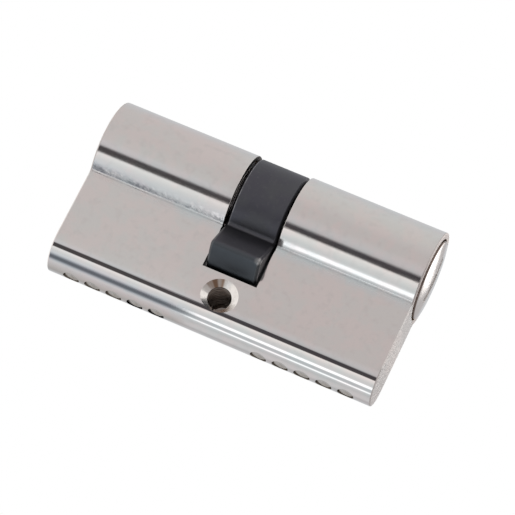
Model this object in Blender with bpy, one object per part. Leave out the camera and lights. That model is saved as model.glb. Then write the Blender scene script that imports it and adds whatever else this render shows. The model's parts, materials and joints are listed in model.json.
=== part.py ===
"""Euro profile double cylinder, 30/30, keyed from both sides.

The origin is the middle of the fixing-screw hole: X runs along the cylinder, Z is up, the barrel is above the
leg, and the cam's nose leans out of the leg towards -Y. All lengths are in metres.

The pins stand where the right key holds them, with every joint between key pin and driver pin at the shear
line, so both plugs are free to turn.
"""

import math

import bmesh
import bpy
from mathutils import Matrix

MM = 0.001

# Euro profile of the body
BODY_LENGTH = 60 * MM
BARREL_RADIUS = 8.5 * MM
LEG_WIDTH = 10 * MM
PROFILE_HEIGHT = 33 * MM
AXIS_ABOVE_SCREW = 19 * MM
END_BEVEL = 0.2 * MM

# Clearance between neighbouring pieces
GAP = 0.3 * MM

# Cam slot, plug bore and the recesses at both ends of the bore
SLOT_WIDTH = 10 * MM
SLOT_RADIUS = 15.8 * MM
BORE_RADIUS = 6.75 * MM
FRONT_RECESS_RADIUS = 7.4 * MM
FRONT_RECESS_DEPTH = 1.0 * MM
CLIP_RECESS_RADIUS = 7.6 * MM
CLIP_RECESS_DEPTH = 1.3 * MM

# Hole for the M5 fixing screw
SCREW_HOLE_RADIUS = 2.1 * MM
SCREW_CHAMFER_RADIUS = 3.25 * MM

# Pin chambers, the same in both halves
CHAMBERS = 5
FIRST_CHAMBER = 9.5 * MM
CHAMBER_PITCH = 4.0 * MM
CHAMBER_RADIUS = 1.5 * MM
CHAMBER_INNER_END = -5.0 * MM
PIN_RADIUS = 1.2 * MM

# Key plugs
PLUG_RADIUS = BORE_RADIUS - GAP
DISC_RADIUS = FRONT_RECESS_RADIUS - GAP
DISC_PROUD = {"right": 0.3 * MM, "left": 0.05 * MM}
DISC_CROWN = 0.5 * MM
DISC_EDGE = 0.2 * MM
TAIL_RADIUS = 6.3 * MM
TAIL_END = 1.6 * MM
CLIP_THICKNESS = 0.7 * MM
CLIP_GROOVE_RADIUS = 5.6 * MM
CLIP_OPENING = math.radians(56)
KEYWAY_TOP = 4.4 * MM
KEYWAY_BOTTOM = -3.9 * MM
KEYWAY_HALF_WIDTH = 1.15 * MM
KEYWAY_WARD = 0.6 * MM
KEYWAY_WARD_HEIGHT = 1.7 * MM
PLUG_CHAMBER_TOP = 0.9 * MM

# Clutch
DOG_LENGTH = 14.4 * MM
DOG_HEIGHT = 2.6 * MM
DOG_WIDTH = 4.2 * MM
DOG_MIDDLE = 1.5 * MM
CLUTCH_PIN_RADIUS = 0.8 * MM
CLUTCH_PIN_LENGTH = 8.2 * MM

# Cam
CAM_WIDTH = 9.2 * MM
CAM_RING_RADIUS = 8.2 * MM
CAM_BORE_RADIUS = TAIL_RADIUS + GAP
CAM_NOSE_RADIUS = 15.25 * MM
CAM_NOSE_LEAN = math.radians(23.5)
CAM_NOSE_HALF_ANGLE = math.radians(15)
CAM_NOSE_FILLET = 0.7 * MM
CAM_NOSE_ROUND = 0.9 * MM
CAM_CHAMFER = 0.4 * MM

# Pins, springs and chamber plugs; every height below is measured from the barrel's axis
KEY_PIN_LENGTHS = (4.0 * MM, 5.2 * MM, 4.6 * MM, 5.6 * MM, 4.3 * MM)
KEY_PIN_END = -6.4 * MM
KEY_PIN_TIP = 0.45 * MM
PIN_CHAMFER = 0.2 * MM
DRIVER_TOP = -6.8 * MM
DRIVER_LENGTH = 5.0 * MM
CHAMBER_PLUG_TOP = -22.3 * MM
CHAMBER_PLUG_BOTTOM = -24.2 * MM
CHAMBER_PLUG_RADIUS = 1.2 * MM
SPRING_RADIUS = 1.0 * MM
SPRING_WIRE_RADIUS = 0.2 * MM
SPRING_TURNS = 6

# Facets round a full turn
ROUND = 64
SCREW_HOLE_ROUND = 32
HOLE_ROUND = 16
PIN_ROUND = 12
SPRING_ROUND = 8

# Facets along an arc
BARREL_STEPS = 54
FOOT_STEPS = 20
CLIP_STEPS = 30
CAM_RING_STEPS = 26
FILLET_STEPS = 5
CORNER_STEPS = 4
CROWN_STEPS = 4

SMOOTH_BELOW = math.radians(30)
SAME_PLACE = 1e-7
OVERSHOOT = 1.0 * MM

SIDES = {"right": 0.0, "left": math.pi}

# Base colour, metallic, roughness
NICKEL = (0.70, 0.67, 0.65), 1.0, 0.32
PLUG_NICKEL = (0.78, 0.76, 0.74), 1.0, 0.25
BLACK_OXIDE = (0.055, 0.055, 0.065), 0.7, 0.45
SPRING_STEEL = (0.42, 0.42, 0.44), 1.0, 0.3
STEEL = (0.50, 0.50, 0.52), 1.0, 0.35
BRASS = (0.78, 0.60, 0.30), 1.0, 0.3


def clear_scene():
    for old in list(bpy.data.objects):
        bpy.data.objects.remove(old, do_unlink=True)


def principled(name, look):
    colour, metallic, roughness = look
    material = bpy.data.materials.new(name)
    material.use_nodes = True
    shader = material.node_tree.nodes["Principled BSDF"]
    shader.inputs["Base Color"].default_value = (*colour, 1.0)
    shader.inputs["Metallic"].default_value = metallic
    shader.inputs["Roughness"].default_value = roughness
    return material


def add_object(name, data, look=None):
    """Link an object that holds the mesh or curve; without a look it is a cutter."""
    thing = bpy.data.objects.new(name, data)
    bpy.context.scene.collection.objects.link(thing)
    if look is None:
        thing.hide_render = True
        thing.display_type = "WIRE"
    else:
        data.materials.append(principled(name, look))
    return thing


def mesh_from(name, bm):
    bmesh.ops.recalc_face_normals(bm, faces=bm.faces)
    mesh = bpy.data.meshes.new(name)
    bm.to_mesh(mesh)
    bm.free()
    mesh.shade_smooth()
    mesh.set_sharp_from_angle(angle=SMOOTH_BELOW)
    return mesh


def spun(bm, outline, segments, turn=None):
    """Spin an outline of (radius, height) that starts and ends on the Z axis, then turn and shift it."""
    verts = [bm.verts.new((radius, 0, height)) for radius, height in outline]
    edges = [bm.edges.new(pair) for pair in zip(verts, verts[1:])]
    full = 2 * math.pi
    bmesh.ops.spin(
        bm, geom=verts + edges, axis=(0, 0, 1), cent=(0, 0, 0), steps=segments, angle=full, use_merge=True
    )
    bmesh.ops.remove_doubles(bm, verts=[v for v in bm.verts if not v.tag], dist=SAME_PLACE)
    made = [v for v in bm.verts if not v.tag]
    if turn is not None:
        bmesh.ops.transform(bm, matrix=turn, verts=made)
    for vert in made:
        vert.tag = True


def turned(name, outline, segments, turn=None):
    bm = bmesh.new()
    spun(bm, outline, segments, turn)
    return mesh_from(name, bm)


def extruded(name, outline, low, high, bevel=0.0):
    """A prism along X with the outline given as (y, z) points, its two end edges bevelled."""
    bm = bmesh.new()
    base = bm.faces.new([bm.verts.new((low, y, z)) for y, z in outline])
    grown = bmesh.ops.extrude_face_region(bm, geom=[base])
    moved = [v for v in grown["geom"] if isinstance(v, bmesh.types.BMVert)]
    bmesh.ops.translate(bm, verts=moved, vec=(high - low, 0, 0))
    if bevel:
        ends = [e for e in bm.edges if abs(e.verts[0].co.x - e.verts[1].co.x) < SAME_PLACE]
        bmesh.ops.bevel(bm, geom=ends, offset=bevel, segments=1, affect="EDGES")
    return mesh_from(name, bm)


def box_mesh(name, size, middle):
    bm = bmesh.new()
    bmesh.ops.create_cube(bm, size=1)
    bmesh.ops.scale(bm, verts=bm.verts, vec=size)
    bmesh.ops.translate(bm, verts=bm.verts, vec=middle)
    return mesh_from(name, bm)


def arc(middle, radius, start, end, steps):
    """Points of an arc round middle, from the angle start to the angle end."""
    angles = [start + (end - start) * i / steps for i in range(steps + 1)]
    return [(middle[0] + radius * math.cos(a), middle[1] + radius * math.sin(a)) for a in angles]


def cut(target, cutter):
    modifier = target.modifiers.new("cut_" + cutter.name, "BOOLEAN")
    modifier.operation = "DIFFERENCE"
    modifier.solver = "EXACT"
    modifier.object = cutter
    cutter.parent = target


def along_x(distance=0.0):
    """Turn the Z axis of a turned mesh into the X axis."""
    return Matrix.Translation((distance, 0, 0)) @ Matrix.Rotation(math.pi / 2, 4, "Y")


def along_y():
    return Matrix.Rotation(math.pi / 2, 4, "X")


def chamber_places():
    return [FIRST_CHAMBER + CHAMBER_PITCH * i for i in range(CHAMBERS)]


def body_outline():
    """The euro profile round the barrel's axis: a round barrel, a narrow leg and a half-round lower edge."""
    half = LEG_WIDTH / 2
    neck = math.asin(half / BARREL_RADIUS)
    down = -math.pi / 2
    round_middle = (0, BARREL_RADIUS - PROFILE_HEIGHT + half)
    barrel = arc((0, 0), BARREL_RADIUS, down + neck, down - neck + 2 * math.pi, BARREL_STEPS)
    foot = arc(round_middle, half, -math.pi, 0, FOOT_STEPS)
    return barrel + foot


def bore_outline():
    """Everything that is turned out of the body about the barrel's axis, from end to end."""
    end = BODY_LENGTH / 2
    slot = SLOT_WIDTH / 2
    half = [
        (SLOT_RADIUS, slot),
        (CLIP_RECESS_RADIUS, slot),
        (CLIP_RECESS_RADIUS, slot + CLIP_RECESS_DEPTH),
        (BORE_RADIUS, slot + CLIP_RECESS_DEPTH),
        (BORE_RADIUS, end - FRONT_RECESS_DEPTH),
        (FRONT_RECESS_RADIUS, end - FRONT_RECESS_DEPTH),
        (FRONT_RECESS_RADIUS, end + OVERSHOOT),
        (0, end + OVERSHOOT),
    ]
    return [(radius, -height) for radius, height in reversed(half)] + half


def make_housing(axis):
    end = BODY_LENGTH / 2
    body = add_object("housing", extruded("housing", body_outline(), -end, end, END_BEVEL), NICKEL)
    body.parent = axis
    cut(body, add_object("bore_cutter", turned("bore_cutter", bore_outline(), ROUND, along_x())))

    mouth = BARREL_RADIUS - PROFILE_HEIGHT - OVERSHOOT
    chamber = [
        (0, mouth),
        (CHAMBER_RADIUS, mouth),
        (CHAMBER_RADIUS, CHAMBER_INNER_END),
        (0, CHAMBER_INNER_END),
    ]
    bm = bmesh.new()
    for place in chamber_places():
        for x in (place, -place):
            spun(bm, chamber, HOLE_ROUND, Matrix.Translation((x, 0, 0)))
    cut(body, add_object("chamber_cutter", mesh_from("chamber_cutter", bm)))

    side = LEG_WIDTH / 2
    chamfer = SCREW_CHAMFER_RADIUS - SCREW_HOLE_RADIUS
    half = [
        (SCREW_HOLE_RADIUS, side - chamfer),
        (SCREW_CHAMFER_RADIUS, side),
        (SCREW_CHAMFER_RADIUS, side + OVERSHOOT),
        (0, side + OVERSHOOT),
    ]
    hole = [(radius, -height) for radius, height in reversed(half)] + half
    screw_hole_mesh = turned("screw_hole_cutter", hole, SCREW_HOLE_ROUND, along_y())
    screw_hole = add_object("screw_hole_cutter", screw_hole_mesh)
    screw_hole.location.z = -AXIS_ABOVE_SCREW
    cut(body, screw_hole)
    return body


def plug_outline(proud):
    """The outer shape of a right plug along X: slotted tail, clip groove, pin section and front disc."""
    end = BODY_LENGTH / 2
    clip = SLOT_WIDTH / 2 + CLIP_RECESS_DEPTH / 2
    groove = CLIP_THICKNESS / 2 + GAP
    back = end - FRONT_RECESS_DEPTH + GAP
    front = end + proud
    face = DISC_RADIUS - DISC_EDGE
    shares = [1 - step / CROWN_STEPS for step in range(CROWN_STEPS + 1)]
    crown = [(face * share, front + DISC_CROWN * (1 - share ** 2)) for share in shares]
    return [
        (0, TAIL_END),
        (TAIL_RADIUS, TAIL_END),
        (TAIL_RADIUS, clip - groove),
        (CLIP_GROOVE_RADIUS, clip - groove),
        (CLIP_GROOVE_RADIUS, clip + groove),
        (PLUG_RADIUS, clip + groove),
        (PLUG_RADIUS, back),
        (DISC_RADIUS, back),
        (DISC_RADIUS, front - DISC_EDGE),
    ] + crown


def keyway_outline():
    """A plain keyway with one ward on each side, kept full width where the clutch pin slides."""
    wide = KEYWAY_HALF_WIDTH
    slim = KEYWAY_HALF_WIDTH - KEYWAY_WARD
    return [
        (-wide, -KEYWAY_WARD_HEIGHT),
        (-slim, -KEYWAY_WARD_HEIGHT),
        (-slim, KEYWAY_BOTTOM),
        (wide, KEYWAY_BOTTOM),
        (wide, KEYWAY_WARD_HEIGHT),
        (slim, KEYWAY_WARD_HEIGHT),
        (slim, KEYWAY_TOP),
        (-wide, KEYWAY_TOP),
    ]


def make_plug(side, axis):
    """A key plug that turns about X, its origin on the barrel's axis."""
    end = BODY_LENGTH / 2
    name = "plug_" + side
    plug = add_object(name, turned(name, plug_outline(DISC_PROUD[side]), ROUND, along_x()), PLUG_NICKEL)
    plug.parent = axis
    plug.rotation_euler.z = SIDES[side]

    keyway_front = end + DISC_PROUD[side] + DISC_CROWN + OVERSHOOT
    keyway = extruded("keyway_cutter_" + side, keyway_outline(), TAIL_END - OVERSHOOT, keyway_front)
    cut(plug, add_object("keyway_cutter_" + side, keyway))

    bm = bmesh.new()
    for place in chamber_places():
        hole = [
            (0, -BARREL_RADIUS),
            (CHAMBER_RADIUS, -BARREL_RADIUS),
            (CHAMBER_RADIUS, PLUG_CHAMBER_TOP),
            (0, PLUG_CHAMBER_TOP),
        ]
        spun(bm, hole, HOLE_ROUND, Matrix.Translation((place, 0, 0)))
    cut(plug, add_object("pin_cutter_" + side, mesh_from("pin_cutter_" + side, bm)))

    floor = DOG_MIDDLE + DOG_WIDTH / 2 + GAP
    depth = floor - TAIL_END + OVERSHOOT
    slot_size = (depth, 2 * BARREL_RADIUS, DOG_HEIGHT + 2 * GAP)
    slot = box_mesh("dog_slot_cutter_" + side, slot_size, (floor - depth / 2, 0, 0))
    cut(plug, add_object("dog_slot_cutter_" + side, slot))
    return plug


def make_circlip(side, plug):
    """An open spring ring in the plug's groove, its mouth away from the pins."""
    outer = CLIP_RECESS_RADIUS - GAP
    inner = CLIP_GROOVE_RADIUS + GAP
    start = math.pi / 2 + CLIP_OPENING / 2
    end = math.pi / 2 - CLIP_OPENING / 2 + 2 * math.pi
    outline = arc((0, 0), outer, start, end, CLIP_STEPS) + arc((0, 0), inner, end, start, CLIP_STEPS)
    middle = SLOT_WIDTH / 2 + CLIP_RECESS_DEPTH / 2
    name = "circlip_" + side
    low = middle - CLIP_THICKNESS / 2
    high = middle + CLIP_THICKNESS / 2
    clip = add_object(name, extruded(name, outline, low, high), SPRING_STEEL)
    clip.parent = plug


def nose_outline(lean, half_angle):
    """The cam's outline round the barrel's axis: a ring with a wedge-shaped nose, filleted and rounded."""
    ring = CAM_RING_RADIUS
    fillet = CAM_NOSE_FILLET
    fillet_out = ring + fillet
    fillet_turn = math.asin(fillet / fillet_out)
    corner = CAM_NOSE_ROUND
    corner_out = CAM_NOSE_RADIUS - corner
    corner_turn = math.asin(corner / corner_out)

    # one flank, seen with the nose pointing along +Y of its own plane, from the ring up to the tip
    along = math.pi / 2
    flank = along - half_angle
    fillet_at = flank - fillet_turn
    fillet_middle = (fillet_out * math.cos(fillet_at), fillet_out * math.sin(fillet_at))
    corner_at = flank + corner_turn
    corner_middle = (corner_out * math.cos(corner_at), corner_out * math.sin(corner_at))
    ring_part = arc((0, 0), ring, along - math.pi, fillet_at, CAM_RING_STEPS)
    fillet_part = arc(fillet_middle, fillet, fillet_at + math.pi, flank + math.pi / 2, FILLET_STEPS)
    corner_part = arc(corner_middle, corner, flank - math.pi / 2, corner_at, CORNER_STEPS)
    tip_part = arc((0, 0), CAM_NOSE_RADIUS, corner_at, along, CORNER_STEPS)
    right = ring_part[:-1] + fillet_part + corner_part[:-1] + tip_part
    left = [(-u, v) for u, v in reversed(right[1:-1])]
    turn = math.pi + lean

    def turned_point(point):
        u, v = point
        return (u * math.cos(turn) + v * math.sin(turn), v * math.cos(turn) - u * math.sin(turn))

    return [turned_point(point) for point in right + left]


def make_cam(axis):
    """The cam turns about X between the plugs' tails, its nose leaning out towards -Y."""
    half = CAM_WIDTH / 2
    outline = nose_outline(CAM_NOSE_LEAN, CAM_NOSE_HALF_ANGLE)
    cam = add_object("cam", extruded("cam", outline, -half, half, CAM_CHAMFER), BLACK_OXIDE)
    cam.parent = axis
    reach = half + OVERSHOOT
    bore = [(0, -reach), (CAM_BORE_RADIUS, -reach), (CAM_BORE_RADIUS, reach), (0, reach)]
    cut(cam, add_object("cam_bore_cutter", turned("cam_bore_cutter", bore, ROUND, along_x())))
    groove_size = (2 * reach, DOG_LENGTH + 2 * GAP, DOG_HEIGHT + 2 * GAP)
    cut(cam, add_object("cam_groove_cutter", box_mesh("cam_groove_cutter", groove_size, (0, 0, 0))))
    return cam


def make_clutch(cam):
    """The dog slides along X in the cam's grooves; at rest it sits in the right plug's slot."""
    size = (DOG_WIDTH, DOG_LENGTH, DOG_HEIGHT)
    dog = add_object("clutch_dog", box_mesh("clutch_dog", size, (DOG_MIDDLE, 0, 0)), STEEL)
    dog.parent = cam
    reach = DOG_WIDTH / 2 + OVERSHOOT
    hole = CLUTCH_PIN_RADIUS + GAP
    through = [(0, -reach), (hole, -reach), (hole, reach), (0, reach)]
    cutter = turned("clutch_hole_cutter", through, HOLE_ROUND, along_x(DOG_MIDDLE))
    cut(dog, add_object("clutch_hole_cutter", cutter))

    half = CLUTCH_PIN_LENGTH / 2
    round_end = CLUTCH_PIN_RADIUS / 2
    outline = [
        (0, -half),
        (round_end, -half),
        (CLUTCH_PIN_RADIUS, round_end - half),
        (CLUTCH_PIN_RADIUS, half - round_end),
        (round_end, half),
        (0, half),
    ]
    pin_mesh = turned("clutch_pin", outline, PIN_ROUND, along_x(DOG_MIDDLE))
    pin = add_object("clutch_pin", pin_mesh, SPRING_STEEL)
    pin.parent = dog


def make_key_pins(side, plug):
    """Pointed pins in the plug, their flat ends at the shear line and their tips towards the key."""
    for number, (place, length) in enumerate(zip(chamber_places(), KEY_PIN_LENGTHS), 1):
        outline = [
            (0, 0),
            (PIN_RADIUS - PIN_CHAMFER, 0),
            (PIN_RADIUS, PIN_CHAMFER),
            (PIN_RADIUS, length - PIN_RADIUS + KEY_PIN_TIP),
            (KEY_PIN_TIP, length),
            (0, length),
        ]
        name = f"key_pin_{side}_{number}"
        pin = add_object(name, turned(name, outline, PIN_ROUND), BRASS)
        pin.location = (place, 0, KEY_PIN_END)
        pin.parent = plug


def make_drivers(side, half_body):
    """Blunt pins in the body, just outside the shear line."""
    outline = [
        (0, 0),
        (PIN_RADIUS - PIN_CHAMFER, 0),
        (PIN_RADIUS, -PIN_CHAMFER),
        (PIN_RADIUS, PIN_CHAMFER - DRIVER_LENGTH),
        (PIN_RADIUS - PIN_CHAMFER, -DRIVER_LENGTH),
        (0, -DRIVER_LENGTH),
    ]
    mesh = turned("driver_pin_" + side, outline, PIN_ROUND)
    mesh.materials.append(principled("driver_pin_" + side, STEEL))
    for number, place in enumerate(chamber_places(), 1):
        pin = bpy.data.objects.new(f"driver_pin_{side}_{number}", mesh)
        bpy.context.scene.collection.objects.link(pin)
        pin.location = (place, 0, DRIVER_TOP)
        pin.parent = half_body


def make_springs(side, half_body):
    """Round wire coiled between each driver pin and its chamber plug."""
    top = DRIVER_TOP - DRIVER_LENGTH - GAP - SPRING_WIRE_RADIUS
    bottom = CHAMBER_PLUG_TOP + GAP + SPRING_WIRE_RADIUS
    steps = SPRING_TURNS * SPRING_ROUND
    for number, place in enumerate(chamber_places(), 1):
        name = f"spring_{side}_{number}"
        wire = bpy.data.curves.new(name, "CURVE")
        wire.dimensions = "3D"
        wire.bevel_depth = SPRING_WIRE_RADIUS
        wire.bevel_resolution = 0
        wire.use_fill_caps = True
        coil = wire.splines.new("POLY")
        coil.points.add(steps)
        for step, point in enumerate(coil.points):
            angle = 2 * math.pi * step / SPRING_ROUND
            height = bottom + (top - bottom) * step / steps
            point.co = (SPRING_RADIUS * math.cos(angle), SPRING_RADIUS * math.sin(angle), height, 1)
        spring = add_object(name, wire, SPRING_STEEL)
        spring.location.x = place
        spring.parent = half_body


def make_chamber_plugs(side, half_body):
    """Short plugs pressed into the chambers, a little way up from the leg's round edge."""
    outline = [
        (0, CHAMBER_PLUG_BOTTOM),
        (CHAMBER_PLUG_RADIUS - PIN_CHAMFER, CHAMBER_PLUG_BOTTOM),
        (CHAMBER_PLUG_RADIUS, CHAMBER_PLUG_BOTTOM + PIN_CHAMFER),
        (CHAMBER_PLUG_RADIUS, CHAMBER_PLUG_TOP),
        (0, CHAMBER_PLUG_TOP),
    ]
    mesh = turned("chamber_plug_" + side, outline, PIN_ROUND)
    mesh.materials.append(principled("chamber_plug_" + side, BRASS))
    for number, place in enumerate(chamber_places(), 1):
        plug = bpy.data.objects.new(f"chamber_plug_{side}_{number}", mesh)
        bpy.context.scene.collection.objects.link(plug)
        plug.location.x = place
        plug.parent = half_body


def add_empty(name, location, parent=None, turn=0.0):
    empty = bpy.data.objects.new(name, None)
    bpy.context.scene.collection.objects.link(empty)
    empty.location = location
    empty.rotation_euler.z = turn
    empty.parent = parent
    return empty


def main():
    clear_scene()
    axis = add_empty("barrel_axis", (0, 0, AXIS_ABOVE_SCREW))
    make_housing(axis)
    make_clutch(make_cam(axis))
    for side, turn in SIDES.items():
        plug = make_plug(side, axis)
        make_circlip(side, plug)
        make_key_pins(side, plug)
        half_body = add_empty("half_body_" + side, (0, 0, 0), axis, turn)
        make_drivers(side, half_body)
        make_springs(side, half_body)
        make_chamber_plugs(side, half_body)


main()
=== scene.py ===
"""Looks of a nickel-plated euro profile double cylinder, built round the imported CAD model.

Every CAD node is replaced by a finer piece that rides on the same body. The body, key plugs, clips and cam
are made about the barrel's axis, which runs along X; pins, springs and chamber plugs are made upwards from
their lower end. Each stands in the frame through its object's location. Lengths are in metres.
"""

import json
import math

import bmesh
import bpy
from mathutils import Matrix, Vector

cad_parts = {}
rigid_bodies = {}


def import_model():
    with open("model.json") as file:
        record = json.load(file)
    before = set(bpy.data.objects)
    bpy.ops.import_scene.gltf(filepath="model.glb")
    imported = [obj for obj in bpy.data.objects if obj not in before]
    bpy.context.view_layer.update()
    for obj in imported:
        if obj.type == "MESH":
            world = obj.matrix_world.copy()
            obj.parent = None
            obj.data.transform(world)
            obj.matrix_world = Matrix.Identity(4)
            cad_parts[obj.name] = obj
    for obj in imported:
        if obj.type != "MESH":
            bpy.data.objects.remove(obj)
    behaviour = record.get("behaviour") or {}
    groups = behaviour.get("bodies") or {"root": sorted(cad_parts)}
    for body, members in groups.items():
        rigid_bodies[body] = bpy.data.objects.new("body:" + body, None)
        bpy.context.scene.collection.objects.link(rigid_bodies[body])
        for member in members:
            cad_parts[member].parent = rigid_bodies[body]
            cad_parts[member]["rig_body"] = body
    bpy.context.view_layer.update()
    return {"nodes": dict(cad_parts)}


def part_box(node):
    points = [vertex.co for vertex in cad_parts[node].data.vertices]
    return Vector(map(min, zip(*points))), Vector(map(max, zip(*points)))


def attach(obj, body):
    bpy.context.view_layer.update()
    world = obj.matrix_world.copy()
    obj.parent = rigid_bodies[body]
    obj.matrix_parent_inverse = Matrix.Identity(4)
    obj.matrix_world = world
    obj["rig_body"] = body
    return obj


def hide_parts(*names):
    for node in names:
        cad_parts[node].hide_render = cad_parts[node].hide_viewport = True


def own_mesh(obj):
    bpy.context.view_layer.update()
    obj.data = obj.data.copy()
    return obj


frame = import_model()

MM = 0.001
RIGHT = "right"
LEFT = "left"
FACING = {RIGHT: 1, LEFT: -1}

# The body, measured on its CAD node
BODY_LOW, BODY_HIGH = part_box("housing")
END = BODY_HIGH.x
BARREL_RADIUS = BODY_HIGH.y
AXIS = Vector((0, 0, BODY_HIGH.z - BARREL_RADIUS))
FOOT = BODY_LOW.z - AXIS.z
SCREW_BELOW_AXIS = AXIS.z
LEG_HALF = 5 * MM
NECK_FILLET = 0.8 * MM
END_BEVEL = 0.2 * MM

# Room turned and drilled out of the body
SLOT_HALF = 5 * MM
SLOT_RADIUS = 15.8 * MM
BORE_RADIUS = 6.75 * MM
FRONT_RECESS_RADIUS = 7.4 * MM
FRONT_RECESS_DEPTH = 1.0 * MM
CLIP_RECESS_RADIUS = 7.6 * MM
CLIP_RECESS_DEPTH = 1.3 * MM
CHAMBER_RADIUS = 1.5 * MM
SCREW_CORE_RADIUS = 2.07 * MM
SCREW_OUTER_RADIUS = 2.5 * MM
SCREW_PITCH = 0.8 * MM
SCREW_SINK_RADIUS = 3.25 * MM
SCREW_SINK_DEPTH = 0.8 * MM
THREAD_FRONT = LEG_HALF - SCREW_SINK_DEPTH - 0.3 * MM
THREAD_BACK = 1.2 * MM - LEG_HALF
RUN_OUT_RADIUS = 1.5 * MM
RUN_OUT_MOUTH_RADIUS = 2.8 * MM
RUN_OUT_MOUTH_DEPTH = 0.2 * MM
OVERSHOOT = 1.0 * MM
BORDER = 0.03 * MM
CLEARANCE = 0.3 * MM
HOUSING_EASE = 0.09 * MM
HOUSING_EASED_ABOVE = -BARREL_RADIUS + 1.05 * MM

# The lower edge's polish begins and is complete at these heights below the barrel's axis
POLISH_STARTS = -17.2 * MM
POLISH_FULL = -18.4 * MM

# Key plugs
PLUG_RADIUS = 6.45 * MM
DISC_RADIUS = 7.1 * MM
DISC_EDGE = 0.2 * MM
DISC_CROWN = 0.5 * MM
TAIL_RADIUS = 6.3 * MM
DISC_BROWN_RIM = 0.16 * MM
CLIP_GROOVE_RADIUS = 5.6 * MM
CLIP_GROOVE_HALF = 0.65 * MM
CLIP_OPENING = math.radians(56)
KEYWAY_TOP = 4.4 * MM
KEYWAY_BOTTOM = -3.9 * MM
KEYWAY_HALF_WIDTH = 1.15 * MM
KEYWAY_WARD = 0.6 * MM
KEYWAY_WARD_HEIGHT = 1.7 * MM
PLUG_CHAMBER_TOP = 0.9 * MM

# Pins, springs and the plugs that close their chambers
KEY_PIN_TIP = 0.45 * MM
WAIST = 0.82
SPRING_WIRE = 0.2 * MM
SPRING_TURNS = 8
SEAL_SPREAD = 0.18 * MM
SEAL_DIMPLE = 0.16 * MM

# Cam
CAM_RING_RADIUS = 8.2 * MM
CAM_BORE_RADIUS = 6.6 * MM
CAM_NOSE_RADIUS = 15.25 * MM
CAM_NOSE_LEAN = math.radians(23.5)
CAM_NOSE_HALF_ANGLE = math.radians(15)
CAM_NOSE_FILLET = 0.7 * MM
CAM_NOSE_ROUND = 0.9 * MM
CAM_CHAMFER = 0.4 * MM
CAM_EASE = 0.09 * MM
# Where the ring's light line runs, partly wear and partly painted highlight.
CAM_WEAR_AND_HIGHLIGHT_LINE = 4.15 * MM
# Centre of the nose corner's bright spot, partly wear and partly painted highlight.
CAM_WEAR_AND_HIGHLIGHT_CORNER = (4.3 * MM, -9.3 * MM, -12.1 * MM)

# Camera, standing to the right of and below the cylinder, which hangs in its picture at a slant
VIEW_AZIMUTH = math.radians(11.87)
VIEW_ELEVATION = math.radians(-19.49)
VIEW_ROLL = math.radians(26.64)
VIEW_DISTANCE = 493.54 * MM
VIEW_ACROSS = -1.81 * MM
VIEW_UP = -7.54 * MM
VIEW_LENS = 202.2

SHARP = math.radians(40)
FLOOR_HEIGHT = -0.6
FLOOR_RADIUS = 12


# ---------------------------------------------------------------- outlines

def arc(middle, radius, start, end, steps):
    """Points of an arc round middle, from the angle start to the angle end."""
    angles = [start + (end - start) * i / steps for i in range(steps + 1)]
    return [(middle[0] + radius * math.cos(a), middle[1] + radius * math.sin(a)) for a in angles]


def rounded(points, steps=4):
    """An open outline of (u, v, corner radius) points with each inner corner rounded."""
    outline = [points[0][:2]]
    for before, corner, after in zip(points, points[1:], points[2:]):
        here = Vector(corner[:2])
        if not corner[2]:
            outline.append(tuple(here))
            continue
        back = (Vector(before[:2]) - here).normalized()
        ahead = (Vector(after[:2]) - here).normalized()
        half = back.angle(ahead) / 2
        reach = corner[2] / math.tan(half)
        middle = here + (back + ahead).normalized() * corner[2] / math.sin(half)
        first = (here + back * reach - middle).normalized()
        last = (here + ahead * reach - middle).normalized()
        for i in range(steps + 1):
            outline.append(tuple(middle + first.slerp(last, i / steps) * corner[2]))
    outline.append(points[-1][:2])
    return outline


def body_outline():
    """The euro profile: round barrel, filleted necks, straight leg and half-round lower edge."""
    out = LEG_HALF + NECK_FILLET
    down = math.sqrt((BARREL_RADIUS + NECK_FILLET) ** 2 - out ** 2)
    neck = math.atan2(down, out)
    barrel = arc((0, 0), BARREL_RADIUS, -neck, math.pi + neck, 150)
    left_neck = arc((-out, -down), NECK_FILLET, neck, 0, 12)
    right_neck = arc((out, -down), NECK_FILLET, math.pi, math.pi - neck, 12)
    foot = arc((0, FOOT + LEG_HALF), LEG_HALF, -math.pi, 0, 64)
    upper = -down - BORDER
    lower = FOOT + LEG_HALF + BORDER
    left_flat = [(-LEG_HALF, upper), (-LEG_HALF, lower)]
    right_flat = [(LEG_HALF, lower), (LEG_HALF, upper)]
    return barrel + left_neck[1:] + left_flat + foot + right_flat + right_neck[:-1]


def keyway_outline():
    """One ward a side, on opposite walls."""
    wide = KEYWAY_HALF_WIDTH
    slim = KEYWAY_HALF_WIDTH - KEYWAY_WARD
    ward = KEYWAY_WARD_HEIGHT
    return [
        (-wide, -ward),
        (-slim, -ward),
        (-slim, KEYWAY_BOTTOM),
        (wide, KEYWAY_BOTTOM),
        (wide, ward),
        (slim, ward),
        (slim, KEYWAY_TOP),
        (-wide, KEYWAY_TOP),
    ]


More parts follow.
